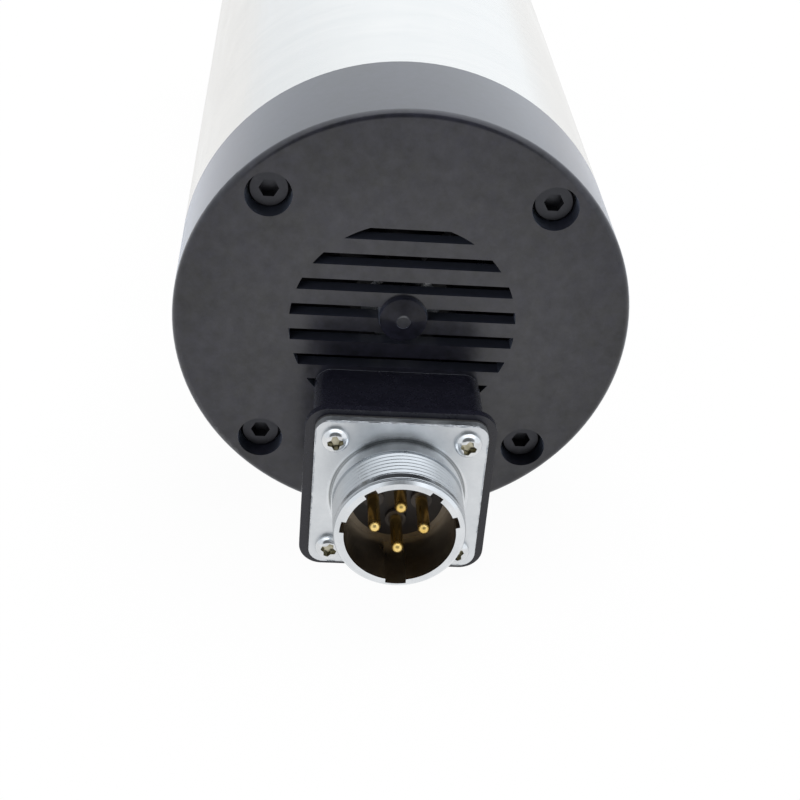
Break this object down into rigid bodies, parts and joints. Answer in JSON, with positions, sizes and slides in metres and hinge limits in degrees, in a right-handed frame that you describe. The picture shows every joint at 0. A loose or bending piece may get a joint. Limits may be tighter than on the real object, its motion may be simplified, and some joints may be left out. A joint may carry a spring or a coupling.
{
  "type": "motor spindle",
  "caption": "Round air-cooled motor spindle with a steel body, vented rear cap with a flanged power plug, and an ER collet nose.",
  "frame": {"origin": "on the shaft's axis, halfway along the body tube that the machine's clamp grips", "axes": "+Y along the shaft towards the nose and collet, +Z from the axis away from the power plug, +X completes the right-handed frame (right as seen from behind)"},
  "size_m": [0.08, 0.278, 0.08],
  "materials": {
    "tube_steel": "polished, with a fine grain along the axis",
    "cap_plastic": "satin moulded, finely mottled",
    "black_steel": "black oxide",
    "gasket_rubber": "matt",
    "plug_nickel": "satin nickel plate",
    "zinc_steel": "zinc plated",
    "insulator": "moulded",
    "gold_contact": "gold plated",
    "spring_steel": "plain",
    "wire_jacket": "silicone",
    "cast_aluminium": "extruded",
    "lamination_steel": "stacked sheet",
    "winding_copper": "varnished copper",
    "rotor_aluminium": "cast",
    "black_anodised": "black anodised",
    "turned_aluminium": "turned",
    "ground_steel": "ground",
    "blackened_nut": "black oxide",
    "fan_plastic": "moulded",
    "collet_steel": "ground",
    "black_nut_steel": "black oxide",
    "bearing_steel": "ground",
    "cage_phenolic": "machined"
  },
  "bodies": {
    "housing": {"body_tube": "tube_steel", "stator_jacket": "cast_aluminium", "stator_core": "lamination_steel", "stator_winding": "winding_copper", "front_bearing_1_outer_ring": "bearing_steel", "front_bearing_2_outer_ring": "bearing_steel", "rear_bearing_1_outer_ring": "bearing_steel", "rear_bearing_2_outer_ring": "bearing_steel", "wave_spring": "spring_steel", "front_bearing_housing": "black_anodised", "front_housing_screws": "black_steel", "front_cover": "turned_aluminium", "front_cover_screws": "black_steel", "rear_bearing_plate": "turned_aluminium", "rear_cap": "cap_plastic", "cap_screws": "black_steel", "plug_post": "cap_plastic", "post_screws": "zinc_steel", "plug_gasket": "gasket_rubber", "plug_shell": "plug_nickel", "plug_insert": "insulator", "insert_clip": "spring_steel", "plug_pins": "gold_contact", "plug_screws": "zinc_steel", "lead_wires": "wire_jacket"},
    "rotor": {"spindle_shaft": "ground_steel", "rotor_core": "lamination_steel", "rotor_end_rings": "rotor_aluminium", "front_bearing_1_inner_ring": "bearing_steel", "front_bearing_2_inner_ring": "bearing_steel", "rear_bearing_1_inner_ring": "bearing_steel", "rear_bearing_2_inner_ring": "bearing_steel", "front_lock_nut": "blackened_nut", "rear_lock_nut": "blackened_nut", "cooling_fan": "fan_plastic", "fan_screw": "zinc_steel"},
    "front_bearing_1_ball_row": {"front_bearing_1_cage": "cage_phenolic"},
    "front_bearing_2_ball_row": {"front_bearing_2_cage": "cage_phenolic"},
    "rear_bearing_1_ball_row": {"rear_bearing_1_cage": "cage_phenolic"},
    "rear_bearing_2_ball_row": {"rear_bearing_2_cage": "cage_phenolic"},
    "collet": {"collet": "collet_steel"},
    "nut": {"collet_nut": "black_nut_steel"}
  },
  "joints": [
    {"name": "spindle_spin", "type": "hinge", "parent": "housing", "child": "rotor", "pos_m": [0, 0, 0], "axis": [0, 1, 0], "continuous": true},
    {"name": "front_bearing_1_cage_spin", "type": "hinge", "parent": "housing", "child": "front_bearing_1_ball_row", "pos_m": [0, 0, 0], "axis": [0, 1, 0], "continuous": true},
    {"name": "front_bearing_2_cage_spin", "type": "hinge", "parent": "housing", "child": "front_bearing_2_ball_row", "pos_m": [0, 0, 0], "axis": [0, 1, 0], "continuous": true},
    {"name": "rear_bearing_1_cage_spin", "type": "hinge", "parent": "housing", "child": "rear_bearing_1_ball_row", "pos_m": [0, 0, 0], "axis": [0, 1, 0], "continuous": true},
    {"name": "rear_bearing_2_cage_spin", "type": "hinge", "parent": "housing", "child": "rear_bearing_2_ball_row", "pos_m": [0, 0, 0], "axis": [0, 1, 0], "continuous": true},
    {"name": "collet_slide", "type": "slide", "parent": "rotor", "child": "collet", "axis": [0, 1, 0], "range_m": [0, 0.006]},
    {"name": "nut_turn", "type": "hinge", "parent": "collet", "child": "nut", "pos_m": [0, 0.13, 0], "axis": [0, 1, 0], "range_deg": [0, 1440]}
  ],
  "couplings": [
    {"joint": "front_bearing_1_cage_spin", "follows": "spindle_spin", "ratio": 0.4148},
    {"joint": "front_bearing_2_cage_spin", "follows": "spindle_spin", "ratio": 0.4148},
    {"joint": "rear_bearing_1_cage_spin", "follows": "spindle_spin", "ratio": 0.4022},
    {"joint": "rear_bearing_2_cage_spin", "follows": "spindle_spin", "ratio": 0.4022},
    {"joint": "collet_slide", "follows": "nut_turn", "m_per_rad": 0.00023873}
  ]
}
